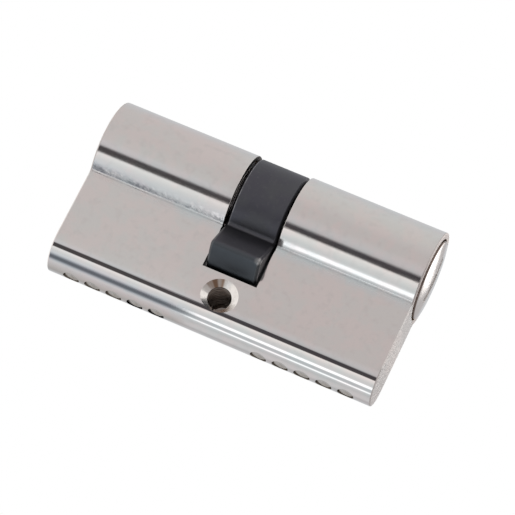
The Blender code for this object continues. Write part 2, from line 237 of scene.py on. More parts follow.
def cam_outline():
    """A ring with a wedge-shaped nose, filleted at its root and rounded at its corners."""
    fillet_out = CAM_RING_RADIUS + CAM_NOSE_FILLET
    corner_out = CAM_NOSE_RADIUS - CAM_NOSE_ROUND
    along = math.pi / 2
    flank = along - CAM_NOSE_HALF_ANGLE
    fillet_at = flank - math.asin(CAM_NOSE_FILLET / fillet_out)
    fillet_middle = (fillet_out * math.cos(fillet_at), fillet_out * math.sin(fillet_at))
    corner_at = flank + math.asin(CAM_NOSE_ROUND / corner_out)
    corner_middle = (corner_out * math.cos(corner_at), corner_out * math.sin(corner_at))
    ring = arc((0, 0), CAM_RING_RADIUS, along - math.pi, fillet_at, 96)
    fillet = arc(fillet_middle, CAM_NOSE_FILLET, fillet_at + math.pi, flank + along, 16)
    corner = arc(corner_middle, CAM_NOSE_ROUND, flank - along, corner_at, 12)
    tip = arc((0, 0), CAM_NOSE_RADIUS, corner_at, along, 10)
    right = ring[:-1] + fillet + corner[:-1] + tip
    left = [(-u, v) for u, v in reversed(right[1:-1])]
    turn = Matrix.Rotation(-math.pi - CAM_NOSE_LEAN, 2)
    return [tuple(turn @ Vector(point)) for point in right + left]


# ---------------------------------------------------------------- meshes

def finished(name, bm):
    bmesh.ops.recalc_face_normals(bm, faces=bm.faces)
    mesh = bpy.data.meshes.new(name)
    bm.to_mesh(mesh)
    bm.free()
    return mesh


def turned(name, outline, steps):
    """Turn an outline of (height, radius) points about Z; both its ends are on the axis."""
    bm = bmesh.new()
    rings = []
    for height, radius in outline:
        around = steps if radius > 0 else 1
        angles = [2 * math.pi * i / steps for i in range(around)]
        rings.append([bm.verts.new((radius * math.cos(a), radius * math.sin(a), height)) for a in angles])
    for low, high in zip(rings, rings[1:]):
        for i in range(steps):
            corners = [low[i % len(low)], low[(i + 1) % len(low)]]
            corners += [high[(i + 1) % len(high)], high[i % len(high)]]
            corners = list(dict.fromkeys(corners))
            if len(corners) > 2:
                bm.faces.new(corners)
    return finished(name, bm)


def prism(name, outline, low, high, bevel=0.0, steps=1, border=0.0):
    """A prism along X with the outline given as (y, z) points, its two end edges bevelled.

    A narrow border beside the bevels keeps the shading of the sides and the ends flat.
    """
    stations = [low, high]
    if border:
        stations = [low, low + bevel + border, high - bevel - border, high]
    bm = bmesh.new()
    rings = [[bm.verts.new((x, y, z)) for y, z in outline] for x in stations]
    for near, far in zip(rings, rings[1:]):
        for i in range(len(outline)):
            after = (i + 1) % len(outline)
            bm.faces.new((near[i], near[after], far[after], far[i]))
    caps = [bm.faces.new(rings[0]), bm.faces.new(rings[-1])]
    bmesh.ops.recalc_face_normals(bm, faces=bm.faces)
    if bevel:
        ends = [edge for cap in caps for edge in cap.edges]
        bmesh.ops.bevel(bm, geom=ends, offset=bevel, segments=steps, profile=0.5, affect="EDGES")
    if border:
        bm.normal_update()
        caps = [face for face in bm.faces if len(face.verts) == len(outline)]
        bmesh.ops.inset_individual(bm, faces=caps, thickness=border, use_even_offset=True)
    return finished(name, bm)


def block(name, size, middle):
    bm = bmesh.new()
    bmesh.ops.create_cube(bm, size=1)
    bmesh.ops.scale(bm, verts=bm.verts, vec=size)
    bmesh.ops.translate(bm, verts=bm.verts, vec=middle)
    return finished(name, bm)


def swept(name, path, radius, sides):
    """Round wire along a path of points that winds about Z."""
    bm = bmesh.new()
    rings = []
    for i, point in enumerate(path):
        along = (path[min(i + 1, len(path) - 1)] - path[max(i - 1, 0)]).normalized()
        out = Vector((point.x, point.y, 0)).normalized()
        out = (out - along * out.dot(along)).normalized()
        side = along.cross(out)
        ring = []
        for k in range(sides):
            angle = 2 * math.pi * k / sides
            ring.append(bm.verts.new(point + (out * math.cos(angle) + side * math.sin(angle)) * radius))
        rings.append(ring)
    for low, high in zip(rings, rings[1:]):
        for k in range(sides):
            bm.faces.new((low[k], low[(k + 1) % sides], high[(k + 1) % sides], high[k]))
    bm.faces.new(rings[0])
    bm.faces.new(rings[-1])
    return finished(name, bm)


def along_x(facing=1, distance=0.0):
    """Turn a mesh made about Z, so that it runs along X."""
    return Matrix.Translation((distance * facing, 0, 0)) @ Matrix.Rotation(facing * math.pi / 2, 4, "Y")


def along_y():
    return Matrix.Rotation(math.pi / 2, 4, "X")


def moved(mesh, matrix):
    mesh.transform(matrix)
    return mesh


# ---------------------------------------------------------------- pieces

def add(name, mesh, materials, location=AXIS):
    thing = bpy.data.objects.new(name, mesh)
    bpy.context.scene.collection.objects.link(thing)
    thing.location = location
    for material in materials:
        mesh.materials.append(material)
    return thing


def carve(thing, cutters):
    """Cut each (mesh, material) out of thing; the cut takes the cutter's material."""
    tools = [add("cutter", mesh, [material], thing.location) for mesh, material in cutters]
    for tool in tools:
        cut = thing.modifiers.new("cut", "BOOLEAN")
        cut.operation = "DIFFERENCE"
        cut.solver = "EXACT"
        cut.material_mode = "TRANSFER"
        cut.object = tool
    bpy.context.view_layer.update()
    shape = thing.evaluated_get(bpy.context.evaluated_depsgraph_get())
    mesh = bpy.data.meshes.new_from_object(shape)
    thing.modifiers.clear()
    thing.data = mesh
    for tool in tools:
        bpy.data.objects.remove(tool)


def ease(thing, width, steps=2, angle=SHARP, spare=None):
    """Round every edge sharper than angle, but for those whose middle is in the spared space."""
    mesh = thing.data
    weights = mesh.attributes.new("bevel_weight_edge", "FLOAT", "EDGE")
    bm = bmesh.new()
    bm.from_mesh(mesh)
    for edge in bm.edges:
        bent = len(edge.link_faces) == 2 and edge.calc_face_angle(0) > angle
        middle = (edge.verts[0].co + edge.verts[1].co) / 2
        if bent and not (spare and spare(middle)):
            weights.data[edge.index].value = 1.0
    bm.free()
    bevel = thing.modifiers.new("eased_edges", "BEVEL")
    bevel.limit_method = "WEIGHT"
    bevel.width = width
    bevel.segments = steps
    bevel.miter_outer = "MITER_ARC"
    bevel.use_clamp_overlap = False
    bevel.harden_normals = True


def shade(thing, angle=SHARP):
    thing.data.shade_smooth()
    thing.data.set_sharp_from_angle(angle=angle)


def stand_in(thing, node):
    """The piece takes the place of a CAD node and rides on its body."""
    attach(thing, frame["nodes"][node]["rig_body"])
    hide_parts(node)


# ---------------------------------------------------------------- materials

def new_material(name):
    material = bpy.data.materials.new(name)
    material.use_nodes = True
    return material, material.node_tree, material.node_tree.nodes["Principled BSDF"]


def node(tree, kind, inputs=None, **settings):
    """Add a shader node; an input takes either a number or colour, or another node's output."""
    made = tree.nodes.new("ShaderNode" + kind)
    for name, value in settings.items():
        setattr(made, name, value)
    for name, value in (inputs or {}).items():
        if isinstance(value, bpy.types.NodeSocket):
            tree.links.new(value, made.inputs[name])
        else:
            made.inputs[name].default_value = value
    return made


def math_node(tree, operation, first, second=0.0):
    return node(tree, "Math", {0: first, 1: second}, operation=operation).outputs[0]


def product(tree, *factors):
    made = factors[0]
    for factor in factors[1:]:
        made = math_node(tree, "MULTIPLY", made, factor)
    return made


def total(tree, *terms):
    made = terms[0]
    for term in terms[1:]:
        made = math_node(tree, "ADD", made, term)
    return made


def ramp(tree, factor, stops):
    """A colour ramp with (position, colour) stops."""
    made = node(tree, "ValToRGB", {0: factor})
    elements = made.color_ramp.elements
    while len(elements) > 1:
        elements.remove(elements[-1])
    elements[0].position = stops[0][0]
    elements[0].color = (*stops[0][1], 1)
    for position, colour in stops[1:]:
        elements.new(position).color = (*colour, 1)
    return made.outputs[0]


def spread(tree, value, low, high, to_low, to_high):
    """Map value from low..high to to_low..to_high, eased and clamped."""
    inputs = {"Value": value, "From Min": low, "From Max": high, "To Min": to_low, "To Max": to_high}
    return node(tree, "MapRange", inputs, interpolation_type="SMOOTHSTEP").outputs[0]


def between(tree, height, above, top, bottom, below):
    """1 from top down to bottom, easing to 0 at above and below."""
    return product(
        tree, spread(tree, height, above, top, 0.0, 1.0), spread(tree, height, below, bottom, 0.0, 1.0)
    )


def noise(tree, place, scale, detail=3.0, rough=0.5):
    inputs = {"Vector": place, "Scale": scale, "Detail": detail, "Roughness": rough}
    return node(tree, "TexNoise", inputs).outputs[0]


def object_place(tree):
    return node(tree, "TexCoord").outputs["Object"]


def stretched(tree, place, scale):
    return node(tree, "Mapping", {"Vector": place, "Scale": scale}).outputs[0]


def distance_from_axis(tree, place):
    across = stretched(tree, place, (0, 1, 1))
    return node(tree, "VectorMath", {0: across}, operation="LENGTH").outputs["Value"]


def bump(tree, height, strength, distance, under=None):
    inputs = {"Height": height, "Strength": strength, "Distance": distance}
    if under is not None:
        inputs["Normal"] = under
    return node(tree, "Bump", inputs).outputs[0]


def blend_colours(tree, factor, first, second):
    made = node(tree, "Mix", data_type="RGBA")
    tree.links.new(factor, made.inputs["Factor"])
    for socket, value in ((made.inputs[6], first), (made.inputs[7], second)):
        if isinstance(value, bpy.types.NodeSocket):
            tree.links.new(value, socket)
        else:
            socket.default_value = (*value, 1)
    return made.outputs[2]


def body_nickel():
    """Satin nickel plate: cloudy, with a painted bluish reflection below the necks, and smeared along the
    left ones.

    It is polished towards the foot, dulled at the barrel's ends and darkened there by painted shade that dims
    their highlight, and pitted low on the leg's ends.
    """
    material, tree, shader = new_material("satin_nickel")
    place = object_place(tree)
    parts = node(tree, "SeparateXYZ", {0: place})
    x, y, z = parts.outputs[0], parts.outputs[1], parts.outputs[2]
    clouds = noise(tree, place, 230, 5.0, 0.62)
    blotches = noise(tree, place, 620, 4.0, 0.6)
    grain = noise(tree, place, 4200)
    drawn = noise(tree, stretched(tree, place, (1, 9, 9)), 330, 4.0, 0.65)

    tint = spread(tree, clouds, 0.42, 0.58, 0.0, 1.0)
    colour = blend_colours(tree, tint, (0.772, 0.722, 0.702), (0.738, 0.728, 0.708))
    dull = spread(tree, blotches, 0.50, 0.68, 0.0, 0.55)
    colour = blend_colours(tree, dull, colour, (0.700, 0.672, 0.655))
    # Painted reflection: a mottled bluish band just below the necks, fading towards the left end.
    bluish = product(
        tree,
        between(tree, z, -6.6 * MM, -7.0 * MM, -7.3 * MM, -9.0 * MM),
        spread(tree, x, -26 * MM, -8 * MM, 0.1, 1.0),
        spread(tree, clouds, 0.40, 0.60, 0.45, 0.95),
    )
    colour = blend_colours(tree, bluish, colour, (0.690, 0.745, 0.755))
    shader.inputs["Metallic"].default_value = 1.0

    off_middle = math_node(tree, "ABSOLUTE", x)
    end_face = spread(tree, off_middle, END - 0.03 * MM, END - 0.005 * MM, 0.0, 1.0)
    low_leg = spread(tree, z, -10.5 * MM, -13.5 * MM, 0.0, 1.0)
    rough_end = product(tree, end_face, low_leg)
    near_neck = between(tree, z, -4.9 * MM, -6.2 * MM, -7.6 * MM, -8.6 * MM)
    smeared = noise(tree, stretched(tree, place, (0.7, 1.2, 1.2)), 330)
    on_left = spread(tree, x, 5 * MM, -5 * MM, 0.05, 1.0)
    neck_rough = product(tree, near_neck, spread(tree, smeared, 0.35, 0.65, 0.02, 0.15), on_left)
    on_fillet = between(tree, z, -6.6 * MM, -6.8 * MM, -7.3 * MM, -7.8 * MM)
    fillet_rough = product(tree, on_fillet, spread(tree, on_left, 0.05, 1.0, 0.30, 0.14))
    polish = spread(tree, z, POLISH_STARTS, POLISH_FULL, 1.0, 0.42)
    drawn_rough = product(tree, spread(tree, drawn, 0.3, 0.7, 0.085, 0.140), polish)
    barrel_end = product(
        tree,
        spread(tree, off_middle, END - 0.30 * MM, END - 0.15 * MM, 0.0, 0.36),
        spread(tree, z, -7.6 * MM, -6.2 * MM, 0.35, 1.0),
    )
    # Painted shade: the barrel's ends are darkened to dim the highlight on their bevel and end face.
    painted_end_shade = spread(tree, barrel_end, 0.0, 0.3, 0.0, 0.8)
    colour = blend_colours(tree, painted_end_shade, colour, (0.610, 0.560, 0.540))
    rough = total(
        tree, drawn_rough, neck_rough, fillet_rough, barrel_end, product(tree, rough_end, 0.10)
    )
    tree.links.new(colour, shader.inputs["Base Color"])
    tree.links.new(rough, shader.inputs["Roughness"])

    ripple = noise(tree, stretched(tree, place, (0.8, 1.2, 1.2)), 1300, 3.0, 0.55)
    pits = noise(tree, place, 1200, 1.0, 0.5)
    unpolished = spread(tree, z, POLISH_STARTS, POLISH_FULL, 1.0, 0.12)
    normal = bump(tree, product(tree, grain, unpolished), 0.04, 0.02 * MM)
    normal = bump(tree, product(tree, blotches, unpolished), 0.05, 0.05 * MM, normal)
    normal = bump(tree, product(tree, ripple, near_neck, on_left), 0.26, 0.10 * MM, normal)
    normal = bump(tree, product(tree, pits, rough_end), 0.55, 0.14 * MM, normal)
    tree.links.new(normal, shader.inputs["Normal"])
    return material


def sunk_nickel():
    """Thin plate over brass in the countersink, with brown streaks down its upper side."""
    material, tree, shader = new_material("sunk_nickel")
    place = object_place(tree)
    parts = node(tree, "SeparateXYZ", {0: place})
    above = math_node(tree, "ADD", parts.outputs[2], SCREW_BELOW_AXIS)
    turn = math_node(tree, "ARCTAN2", above, parts.outputs[0])
    rays = noise(tree, node(tree, "CombineXYZ", {0: turn}).outputs[0], 1.6, 2.0, 0.5)
    upper = spread(tree, above, 0.2 * MM, 1.6 * MM, 0.0, 1.0)
    leftward = spread(tree, parts.outputs[0], 0.5 * MM, -0.6 * MM, 0.05, 1.0)
    streak = product(tree, spread(tree, rays, 0.40, 0.58, 0.3, 1.0), upper, leftward)
    clouds = spread(tree, noise(tree, place, 800, 4.0, 0.6), 0.35, 0.65, 0.0, 1.0)
    plate = blend_colours(tree, clouds, (0.80, 0.77, 0.74), (0.72, 0.69, 0.66))
    tree.links.new(blend_colours(tree, streak, plate, (0.24, 0.15, 0.10)), shader.inputs["Base Color"])
    shader.inputs["Metallic"].default_value = 1.0
    tree.links.new(spread(tree, clouds, 0.0, 1.0, 0.16, 0.26), shader.inputs["Roughness"])
    tree.links.new(bump(tree, rays, 0.10, 0.10 * MM), shader.inputs["Normal"])
    return material


def turned_metal(name, warm, cool, roughness, rings=0.0, brown_beyond=0.0):
    """Metal turned about X: cloudy colour and fine grain, with facing rings and a dark brown rim where asked.
    """
    material, tree, shader = new_material(name)
    place = object_place(tree)
    tint = spread(tree, noise(tree, place, 300, 4.0, 0.6), 0.38, 0.62, 0.0, 1.0)
    colour = blend_colours(tree, tint, warm, cool)
    if brown_beyond:
        out = distance_from_axis(tree, place)
        rim = spread(tree, out, brown_beyond, brown_beyond + 0.08 * MM, 0.0, 0.92)
        colour = blend_colours(tree, rim, colour, (0.150, 0.105, 0.085))
    tree.links.new(colour, shader.inputs["Base Color"])
    shader.inputs["Metallic"].default_value = 1.0
    patchy = noise(tree, place, 900, 3.0)
    rough = spread(tree, patchy, 0.3, 0.7, roughness * 0.8, roughness * 1.3)
    tree.links.new(rough, shader.inputs["Roughness"])
    normal = bump(tree, noise(tree, place, 4200, 2.0), 0.05, 0.02 * MM)
    if rings:
        wave = node(tree, "TexWave", {"Vector": place, "Scale": rings, "Distortion": 0.4, "Detail": 1.0})
        wave.wave_type = "RINGS"
        wave.rings_direction = "X"
        normal = bump(tree, wave.outputs["Fac"], 0.12, 0.01 * MM, normal)
    tree.links.new(normal, shader.inputs["Normal"])
    return material


def black_oxide():
    """Blackened steel with a blue cast, scuffed bright along the ring's left edge and on the nose's corners,
    partly as a painted highlight.

    It is a little lighter on the nose's tip, a painted reflection, and darker at its root, a painted shade.
    """
    material, tree, shader = new_material("black_oxide")
    place = object_place(tree)
    x = node(tree, "SeparateXYZ", {0: place}).outputs[0]
    clouds = noise(tree, place, 240, 4.0, 0.6)
    speckle = noise(tree, place, 1500, 4.0, 0.7)
    grain = noise(tree, place, 3600, 3.0)
    radius = distance_from_axis(tree, place)
    tint = spread(tree, clouds, 0.36, 0.64, 0.0, 1.0)
    dark = blend_colours(tree, tint, (0.096, 0.096, 0.113), (0.108, 0.111, 0.122))
    scuffs = spread(tree, speckle, 0.52, 0.70, 0.0, 0.5)
    dark = blend_colours(tree, scuffs, dark, (0.130, 0.134, 0.142))
    # Painted reflection: the nose's tip is made lighter and bluer.
    tip = spread(tree, radius, 14.5 * MM, 15.0 * MM, 0.0, 1.0)
    dark = blend_colours(tree, tip, dark, (0.112, 0.126, 0.140))
    # Painted shade: the nose's root and fillet are darkened.
    root = product(
        tree,
        spread(tree, radius, 8.4 * MM, 8.9 * MM, 0.0, 0.65),
        spread(tree, radius, 12.5 * MM, 10.0 * MM, 0.35, 1.0),
    )
    dark = blend_colours(tree, root, dark, (0.040, 0.040, 0.045))

    # Partly wear, partly painted highlight: the nose's edges are made bright, mostly on its right-hand edge.
    edges = node(tree, "Bevel", {"Radius": 0.35 * MM}, samples=6)
    flat = node(tree, "NewGeometry").outputs["Normal"]
    bent = node(tree, "VectorMath", {0: edges.outputs[0], 1: flat}, operation="DOT_PRODUCT")
    straight = bent.outputs["Value"]
    edge = spread(tree, straight, 0.995, 0.90, 0.0, 1.0)
    nose = spread(tree, radius, 12.9 * MM, 13.6 * MM, 0.0, 1.0)
    right_edge = spread(tree, x, 3.2 * MM, 4.0 * MM, 0.12, 0.8)
    nose_wear_and_highlight = product(tree, edge, nose, right_edge)

    # Partly wear, partly painted highlight: a bright spot at the nose's right-hand corner.
    to_corner = node(tree, "VectorMath", {0: place, 1: CAM_WEAR_AND_HIGHLIGHT_CORNER}, operation="DISTANCE")
    corner = product(
        tree,
        spread(tree, to_corner.outputs["Value"], 1.1 * MM, 0.45 * MM, 0.0, 0.9),
        spread(tree, straight, 0.9995, 0.985, 0.25, 1.0),
    )
    nose_wear_and_highlight = math_node(tree, "MAXIMUM", nose_wear_and_highlight, corner)

    # Partly wear, partly painted highlight: a thin light line on the ring near its left edge, where the
    # chamfer meets it.
    line = math_node(tree, "ABSOLUTE", math_node(tree, "ADD", x, CAM_WEAR_AND_HIGHLIGHT_LINE))
    line_wear_and_highlight = spread(tree, line, 0.10 * MM, 0.03 * MM, 0.0, 1.0)
    on_ring = spread(tree, radius, 8.9 * MM, 8.4 * MM, 0.0, 1.0)
    patchy = spread(tree, speckle, 0.36, 0.60, 0.25, 0.9)
    line_wear_and_highlight = product(tree, line_wear_and_highlight, on_ring, patchy)
    colour = blend_colours(tree, line_wear_and_highlight, dark, (0.34, 0.34, 0.36))
    tree.links.new(blend_colours(tree, nose_wear_and_highlight, colour, (0.70, 0.69, 0.68)), shader.inputs["Base Color"])
    shader.inputs["Metallic"].default_value = 1.0
    tree.links.new(spread(tree, clouds, 0.3, 0.7, 0.42, 0.52), shader.inputs["Roughness"])
    tree.links.new(bump(tree, grain, 0.12, 0.02 * MM), shader.inputs["Normal"])
    return material


NICKEL = body_nickel()
SUNK_NICKEL = sunk_nickel()
CHAMBER_WALL = turned_metal("chamber_wall", (0.30, 0.27, 0.23), (0.42, 0.39, 0.35), 0.40)
# The cam slot's walls: rough metal painted near black, a painted shade in the narrow slot.
SLOT_PAINTED_SHADE = turned_metal("slot_painted_shade", (0.050, 0.047, 0.045), (0.075, 0.070, 0.066), 0.55)
# The screw hole's inside: brass darkened to dark brown, a painted shade in the hole.
THREAD_BRASS_IN_SHADE = turned_metal("thread_brass_in_shade", (0.20, 0.16, 0.135), (0.29, 0.25, 0.22), 0.36)
PLATED_FACE = turned_metal(
    "plated_face", (0.76, 0.73, 0.71), (0.80, 0.78, 0.76), 0.10,
    rings=2600, brown_beyond=DISC_RADIUS - DISC_BROWN_RIM,
)
KEYWAY_WALL = turned_metal("keyway_wall", (0.88, 0.86, 0.84), (0.94, 0.92, 0.90), 0.70)
RAW_BRASS = turned_metal("raw_brass", (0.52, 0.37, 0.20), (0.60, 0.46, 0.28), 0.30)
PIN_BRASS = turned_metal("pin_brass", (0.80, 0.60, 0.30), (0.74, 0.58, 0.34), 0.22)
PLUG_METAL = turned_metal("plated_plug", (0.55, 0.51, 0.46), (0.72, 0.69, 0.65), 0.26)
SPRING_STEEL = turned_metal("spring_steel", (0.42, 0.42, 0.45), (0.50, 0.49, 0.48), 0.25)
STEEL = turned_metal("steel", (0.52, 0.52, 0.54), (0.47, 0.47, 0.48), 0.30)
BLACK = black_oxide()


# ---------------------------------------------------------------- body

def chamber_plug_nodes():
    return sorted(n for n in frame["nodes"] if n.startswith("chamber_plug_"))


def middle_of(name):
    low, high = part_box(name)
    return (low + high) / 2


def make_housing():
    mesh = prism("nickel_body", body_outline(), -END, END, bevel=END_BEVEL, steps=3, border=BORDER)
    housing = add("nickel_body", mesh, [NICKEL])
    slot = [(-SLOT_HALF, 0), (-SLOT_HALF, SLOT_RADIUS), (SLOT_HALF, SLOT_RADIUS), (SLOT_HALF, 0)]
    clip = SLOT_HALF + CLIP_RECESS_DEPTH
    recess = END - FRONT_RECESS_DEPTH
    half = [
        (0, CLIP_RECESS_RADIUS),
        (clip, CLIP_RECESS_RADIUS),
        (clip, BORE_RADIUS),
        (recess, BORE_RADIUS),
        (recess, FRONT_RECESS_RADIUS),
        (END + OVERSHOOT, FRONT_RECESS_RADIUS),
        (END + OVERSHOOT, 0),
    ]
    bore = [(-height, radius) for height, radius in reversed(half[1:])] + half[1:]
    sink = LEG_HALF - SCREW_SINK_DEPTH
    over = LEG_HALF + OVERSHOOT
    cone = [
        (sink, 0),
        (sink, SCREW_CORE_RADIUS),
        (LEG_HALF, SCREW_SINK_RADIUS),
        (over, SCREW_SINK_RADIUS),
        (over, 0),
    ]
    mouth = [
        (-over, 0),
        (-over, RUN_OUT_MOUTH_RADIUS),
        (-LEG_HALF, RUN_OUT_MOUTH_RADIUS),
        (RUN_OUT_MOUTH_DEPTH - LEG_HALF, RUN_OUT_RADIUS),
        (RUN_OUT_MOUTH_DEPTH - LEG_HALF, 0),
    ]
    hole = [
        (-over, 0),
        (-over, RUN_OUT_RADIUS),
        (THREAD_BACK, RUN_OUT_RADIUS),
        (THREAD_BACK, SCREW_OUTER_RADIUS),
        (THREAD_FRONT, SCREW_OUTER_RADIUS),
        (THREAD_FRONT, SCREW_CORE_RADIUS),
        (over, SCREW_CORE_RADIUS),
        (over, 0),
    ]
    at_screw = Matrix.Translation((0, 0, -SCREW_BELOW_AXIS))
    front = at_screw @ along_y()
    cutters = [
        # The slot's walls take the near-black painted shade.
        (moved(turned("slot", slot, 160), along_x()), SLOT_PAINTED_SHADE),
        (moved(turned("bore", bore, 128), along_x()), RAW_BRASS),
        (moved(turned("cone", cone, 64), front), SUNK_NICKEL),
        (moved(turned("mouth", mouth, 64), front), NICKEL),
        # The threaded hole's walls take the darkened brass, a painted shade.
        (moved(turned("hole", hole, 64), front), THREAD_BRASS_IN_SHADE),
    ]
    chamber = [
        (FOOT - OVERSHOOT, 0),
        (FOOT - OVERSHOOT, CHAMBER_RADIUS),
        (-LEG_HALF, CHAMBER_RADIUS),
        (-LEG_HALF, 0),
    ]
    for name in chamber_plug_nodes():
        x = middle_of(name).x
        cutters.append((moved(turned("chamber", chamber, 48), Matrix.Translation((x, 0, 0))), CHAMBER_WALL))
    carve(housing, cutters)
    shade(housing, math.radians(32))
    ease(housing, HOUSING_EASE, angle=math.radians(50), spare=lambda place: place.z < HOUSING_EASED_ABOVE)
    stand_in(housing, "housing")


def thread_radius(height):
    """The M5 thread's inner surface: flat crests, 60 degree flanks and flat roots along one pitch."""
    share = height / SCREW_PITCH % 1.0
    depth = SCREW_OUTER_RADIUS - SCREW_CORE_RADIUS
    rise = min(1.0, max(0.0, (abs(share - 0.5) - 0.08) / 0.32))
    return SCREW_CORE_RADIUS + depth * rise


def make_screw_thread():
    """The tapped thread of the fixing-screw hole, a thin sleeve with a helical inside."""
    around = 72
    rows = 110
    bm = bmesh.new()
    rings = []
    for row in range(rows + 3):
        height = THREAD_BACK + (THREAD_FRONT - THREAD_BACK) * min(row / rows, 1)
        if row == rows + 2:
            height = THREAD_BACK
        ring = []
        for i in range(around):
            angle = 2 * math.pi * i / around
            radius = thread_radius(height - SCREW_PITCH * i / around)
            if row > rows:
                radius = SCREW_OUTER_RADIUS + 0.03 * MM
            ring.append(bm.verts.new((radius * math.cos(angle), radius * math.sin(angle), height)))
        rings.append(ring)
    for low, high in zip(rings, rings[1:] + rings[:1]):
        for i in range(around):
            bm.faces.new((low[i], low[(i + 1) % around], high[(i + 1) % around], high[i]))
    # The thread takes the darkened brass, a painted shade in the hole.
    thread = add("screw_thread", moved(finished("screw_thread", bm), along_y()), [THREAD_BRASS_IN_SHADE], (0, 0, 0))
    shade(thread, math.radians(55))
    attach(thread, "body")


def make_chamber_plugs():
    """Pressed-in plugs with a shallow dimple where the punch seated them."""
    for name in chamber_plug_nodes():
        low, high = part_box(name)
        radius = (high.x - low.x) / 2 + SEAL_SPREAD
        height = high.z - low.z
        outline = rounded([
            (SEAL_DIMPLE, 0, 0),
            (0.03 * MM, radius * 0.40, 0.3 * MM),
            (0, radius * 0.55, 0.2 * MM),
            (0, radius, 0.16 * MM),
            (height, radius, 0.12 * MM),
            (height, 0, 0),
        ])
        plug = add(name + "_seal", turned(name, outline, 48), [PLUG_METAL], (middle_of(name).x, 0, low.z))
        shade(plug)
        stand_in(plug, name)


# ---------------------------------------------------------------- plugs, clips and cam

def plug_outline(low, high):
    """The outer shape of a plug from its tail to its domed front, as (distance from the middle, radius)."""
    clip = SLOT_HALF + CLIP_RECESS_DEPTH / 2
    back = END - FRONT_RECESS_DEPTH + CLEARANCE
    rim = high - DISC_CROWN
    face = DISC_RADIUS - DISC_EDGE
    body = rounded([
        (low, 0, 0),
        (low, TAIL_RADIUS, 0.25 * MM),
        (clip - CLIP_GROOVE_HALF, TAIL_RADIUS, 0.08 * MM),
        (clip - CLIP_GROOVE_HALF, CLIP_GROOVE_RADIUS, 0.08 * MM),
        (clip + CLIP_GROOVE_HALF, CLIP_GROOVE_RADIUS, 0.08 * MM),
        (clip + CLIP_GROOVE_HALF, PLUG_RADIUS, 0.15 * MM),
        (back, PLUG_RADIUS, 0.08 * MM),
        (back, DISC_RADIUS, 0.08 * MM),
        (rim, DISC_RADIUS, DISC_EDGE * 1.1),
        (rim + DISC_CROWN * (1 - 0.9 ** 2), face * 0.9, 0),
    ], 6)
    shares = [1 - step / 24 for step in range(25)]
    dome = [(rim + DISC_CROWN * (1 - share ** 2), face * share) for share in shares if share < 0.9]
    return body[:-1] + dome


def make_plug(side):
    node_name = "plug_" + side
    facing = FACING[side]
    low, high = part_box(node_name)
    near, far = sorted((abs(low.x), abs(high.x)))
    mesh = moved(turned(node_name, plug_outline(near, far), 128), along_x(facing))
    plug = add("key_plug_" + side, mesh, [PLATED_FACE])
    keyway = prism("keyway", keyway_outline(), near - OVERSHOOT, far + OVERSHOOT)
    turn = Matrix.Rotation(0 if facing > 0 else math.pi, 4, "Z")
    cutters = [(moved(keyway, turn), KEYWAY_WALL)]
    pit = [
        (-BARREL_RADIUS, 0),
        (-BARREL_RADIUS, CHAMBER_RADIUS),
        (PLUG_CHAMBER_TOP, CHAMBER_RADIUS),
        (PLUG_CHAMBER_TOP, 0),
    ]
    for number in range(1, 6):
        x = middle_of(f"key_pin_{side}_{number}").x
        cutters.append((moved(turned("pit", pit, 32), Matrix.Translation((x, 0, 0))), RAW_BRASS))
    dog_low, dog_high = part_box("clutch_dog")
    floor = dog_high.x + CLEARANCE
    depth = floor - near + OVERSHOOT
    height = dog_high.z - dog_low.z + 2 * CLEARANCE
    slot = block("dog_slot", (depth, 2 * BARREL_RADIUS, height), ((floor - depth / 2) * facing, 0, 0))
    cutters.append((slot, RAW_BRASS))
    carve(plug, cutters)
    shade(plug)
    stand_in(plug, node_name)


def make_circlip(side):
    """An open spring ring, stamped, with eased edges."""
    name = "circlip_" + side
    low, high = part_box(name)
    outer = CLIP_RECESS_RADIUS - CLEARANCE
    inner = CLIP_GROOVE_RADIUS + CLEARANCE
    start = math.pi / 2 + CLIP_OPENING / 2
    end = math.pi / 2 - CLIP_OPENING / 2 + 2 * math.pi
    outline = arc((0, 0), outer, start, end, 96) + arc((0, 0), inner, end, start, 96)
    clip = add("spring_clip_" + side, prism(name, outline, low.x, high.x), [SPRING_STEEL])
    shade(clip)
    ease(clip, 0.08 * MM)
    stand_in(clip, name)


def make_cam():
    low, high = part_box("cam")
    cam = add("cam_nose_ring", prism("cam", cam_outline(), low.x, high.x, bevel=CAM_CHAMFER), [BLACK])
    bore = [(2 * low.x, 0), (2 * low.x, CAM_BORE_RADIUS), (2 * high.x, CAM_BORE_RADIUS), (2 * high.x, 0)]
    dog_low, dog_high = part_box("clutch_dog")
    width = dog_high.y - dog_low.y + 2 * CLEARANCE
    height = dog_high.z - dog_low.z + 2 * CLEARANCE
    groove = block("groove", (4 * high.x, width, height), (0, 0, 0))
    carve(cam, [(moved(turned("bore", bore, 128), along_x()), BLACK), (groove, BLACK)])
    shade(cam)
    side_planes = high.x - CAM_CHAMFER / 4
    ease(cam, CAM_EASE, steps=3, angle=math.radians(30), spare=lambda place: abs(place.x) > side_planes)
    stand_in(cam, "cam")


